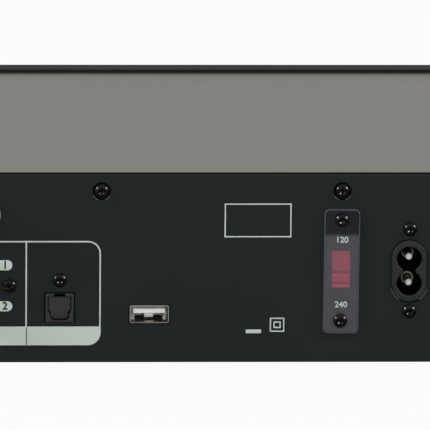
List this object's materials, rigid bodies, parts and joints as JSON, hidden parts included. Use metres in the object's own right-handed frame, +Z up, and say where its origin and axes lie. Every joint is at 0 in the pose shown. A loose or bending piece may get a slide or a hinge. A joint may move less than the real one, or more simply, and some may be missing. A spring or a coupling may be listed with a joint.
{
  "type": "radio tuner",
  "caption": "Half-width table radio tuner: folded steel case, thick fascia with display, buttons and tuning knob, rear panel with sockets, on round feet.",
  "frame": {"origin": "on the surface under the middle of the tuner's whole outline, knob and sockets included", "axes": "+Z up, the fascia faces -Y, the rear panel faces +Y, +X is to the right seen from the front"},
  "size_m": [0.2918, 0.227, 0.073],
  "materials": {
    "cover_paint": "satin dark grey powder paint",
    "panel_paint": "satin black powder paint",
    "zinc_steel": "zinc-plated sheet",
    "fascia_aluminium": "black anodised, fine brushed",
    "knob_aluminium": "black anodised, turned",
    "button_metal": "black anodised",
    "smoked_lens": "smoked, polished",
    "display_glass": "glass face on a dark carrier",
    "circuit_board": "green solder resist",
    "black_moulding": "moulded",
    "inlet_moulding": "moulded, slightly glossy",
    "shutter_moulding": "moulded",
    "white_moulding": "moulded",
    "red_moulding": "moulded",
    "clear_plate": "smoked clear sheet",
    "clear_lens": "clear moulding",
    "bright_steel": "zinc plated",
    "black_screws": "black zinc",
    "brass_posts": "turned",
    "tinplate": "tin plated",
    "gold_plate": "gold plated",
    "nickel_plate": "nickel plated",
    "core_iron": "varnished laminations",
    "winding_copper": "taped copper winding",
    "sink_aluminium": "black anodised extrusion",
    "lead_insulation": "insulated lead",
    "ribbon_insulation": "flat cable",
    "foot_moulding": "moulded",
    "foot_rubber": "moulded"
  },
  "bodies": {
    "cabinet": {"antenna_insulator": "white_moulding", "antenna_nut": "gold_plate", "antenna_socket": "gold_plate", "audio_jack_block": "black_moulding", "audio_jack_shells": "gold_plate", "base_chassis": "zinc_steel", "board_posts": "brass_posts", "board_screws": "bright_steel", "cover_screws": "black_screws", "display_module": "display_glass", "display_window": "smoked_lens", "encoder_nut": "bright_steel", "feet": "foot_moulding", "filter_capacitors": "black_moulding", "foot_pads": "foot_rubber", "frame_screws": "bright_steel", "front_board": "circuit_board", "front_panel": "fascia_aluminium", "front_subframe": "zinc_steel", "fuse": "clear_lens", "fuse_clips": "bright_steel", "heat_sink": "sink_aluminium", "inlet_pins": "nickel_plate", "left_jack_ring": "white_moulding", "main_board": "circuit_board", "mains_inlet": "inlet_moulding", "mains_leads": "lead_insulation", "optical_lens": "clear_lens", "optical_socket": "black_moulding", "power_board": "circuit_board", "push_switches": "black_moulding", "rear_panel": "panel_paint", "regulator": "black_moulding", "ribbon_cable": "ribbon_insulation", "ribbon_headers": "white_moulding", "right_jack_ring": "red_moulding", "selector_cover": "clear_plate", "socket_screws": "black_screws", "top_cover": "cover_paint", "transformer_bobbin": "white_moulding", "transformer_bracket": "zinc_steel", "transformer_core": "core_iron", "transformer_winding": "winding_copper", "tuner_module": "tinplate", "tuner_posts": "brass_posts", "tuning_encoder": "zinc_steel", "usb_contacts": "gold_plate", "usb_shell": "nickel_plate", "usb_tongue": "white_moulding", "voltage_switch": "black_moulding"},
    "menu_button": {"menu_button": "button_metal"},
    "band_button": {"band_button": "button_metal"},
    "preset_down_button": {"preset_down_button": "button_metal"},
    "preset_up_button": {"preset_up_button": "button_metal"},
    "store_button": {"store_button": "button_metal"},
    "power_button": {"power_button": "button_metal"},
    "tuning_control": {"tuning_knob": "knob_aluminium", "encoder_shaft": "bright_steel"},
    "voltage_slider": {"voltage_slider": "red_moulding"},
    "optical_shutter": {"optical_shutter": "shutter_moulding"}
  },
  "joints": [
    {"name": "menu_button_push", "type": "slide", "parent": "cabinet", "child": "menu_button", "axis": [0, 1, 0], "range_m": [0, 0.0008], "stiffness_N_per_m": 400, "springref_m": -0.001},
    {"name": "band_button_push", "type": "slide", "parent": "cabinet", "child": "band_button", "axis": [0, 1, 0], "range_m": [0, 0.0008], "stiffness_N_per_m": 400, "springref_m": -0.001},
    {"name": "preset_down_button_push", "type": "slide", "parent": "cabinet", "child": "preset_down_button", "axis": [0, 1, 0], "range_m": [0, 0.0008], "stiffness_N_per_m": 400, "springref_m": -0.001},
    {"name": "preset_up_button_push", "type": "slide", "parent": "cabinet", "child": "preset_up_button", "axis": [0, 1, 0], "range_m": [0, 0.0008], "stiffness_N_per_m": 400, "springref_m": -0.001},
    {"name": "store_button_push", "type": "slide", "parent": "cabinet", "child": "store_button", "axis": [0, 1, 0], "range_m": [0, 0.0008], "stiffness_N_per_m": 400, "springref_m": -0.001},
    {"name": "power_button_push", "type": "slide", "parent": "cabinet", "child": "power_button", "axis": [0, 1, 0], "range_m": [0, 0.0008], "stiffness_N_per_m": 400, "springref_m": -0.001},
    {"name": "tuning_knob_turn", "type": "hinge", "parent": "cabinet", "child": "tuning_control", "pos_m": [0.102, -0.0985, 0.043], "axis": [0, -1, 0], "continuous": true},
    {"name": "voltage_slider_slide", "type": "slide", "parent": "cabinet", "child": "voltage_slider", "axis": [0, 0, 1], "range_m": [0, 0.0064]},
    {"name": "optical_shutter_swing", "type": "hinge", "parent": "cabinet", "child": "optical_shutter", "pos_m": [0.053, 0.09968, 0.03078], "axis": [-1, 0, 0], "range_deg": [0, 80], "stiffness_Nm_per_rad": 0.0002, "springref_deg": -17.19}
  ]
}
